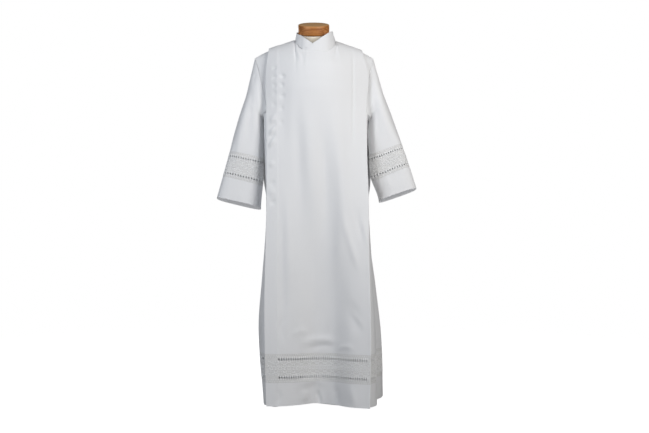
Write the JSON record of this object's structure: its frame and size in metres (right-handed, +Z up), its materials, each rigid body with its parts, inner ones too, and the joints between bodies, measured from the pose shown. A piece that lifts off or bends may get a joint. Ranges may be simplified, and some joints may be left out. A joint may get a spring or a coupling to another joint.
{
  "type": "alb robe on a limbless dress form",
  "caption": "Long white front-wrap alb with a wide front strip, stand collar and ladder-lace bands at hem and cuffs, worn by a limbless dress form on a steel stand",
  "frame": {"origin": "on the floor, at the centre of the stand's crossed foot, under the pole", "axes": "+Z up, -Y is the wearer's front, +X the wearer's left"},
  "size_m": [0.7929, 0.4046, 1.5313],
  "materials": {
    "cloth": "matt plain weave, polyester and linen",
    "lace": "matt openwork with satin-stitch embroidery",
    "form_cover": "unbleached linen cover",
    "neck_cap": "turned, satin varnish",
    "stand": "satin"
  },
  "bodies": {
    "root": {"front_panel": "cloth", "front_facing": "cloth", "front_lace": "lace", "front_hem": "cloth", "side_left": "cloth", "side_left_lace": "lace", "side_left_hem": "cloth", "side_right": "cloth", "side_right_lace": "lace", "side_right_hem": "cloth", "back_panel": "cloth", "back_lace": "lace", "back_hem": "cloth", "sleeve_left": "cloth", "sleeve_left_lace": "lace", "sleeve_left_cuff": "cloth", "sleeve_right": "cloth", "sleeve_right_lace": "lace", "sleeve_right_cuff": "cloth", "collar_left": "cloth", "collar_right": "cloth", "form_torso": "form_cover", "form_neck_cap": "neck_cap", "stand_pole": "stand", "stand_boss": "stand", "stand_base": "stand"}
  },
  "joints": []
}
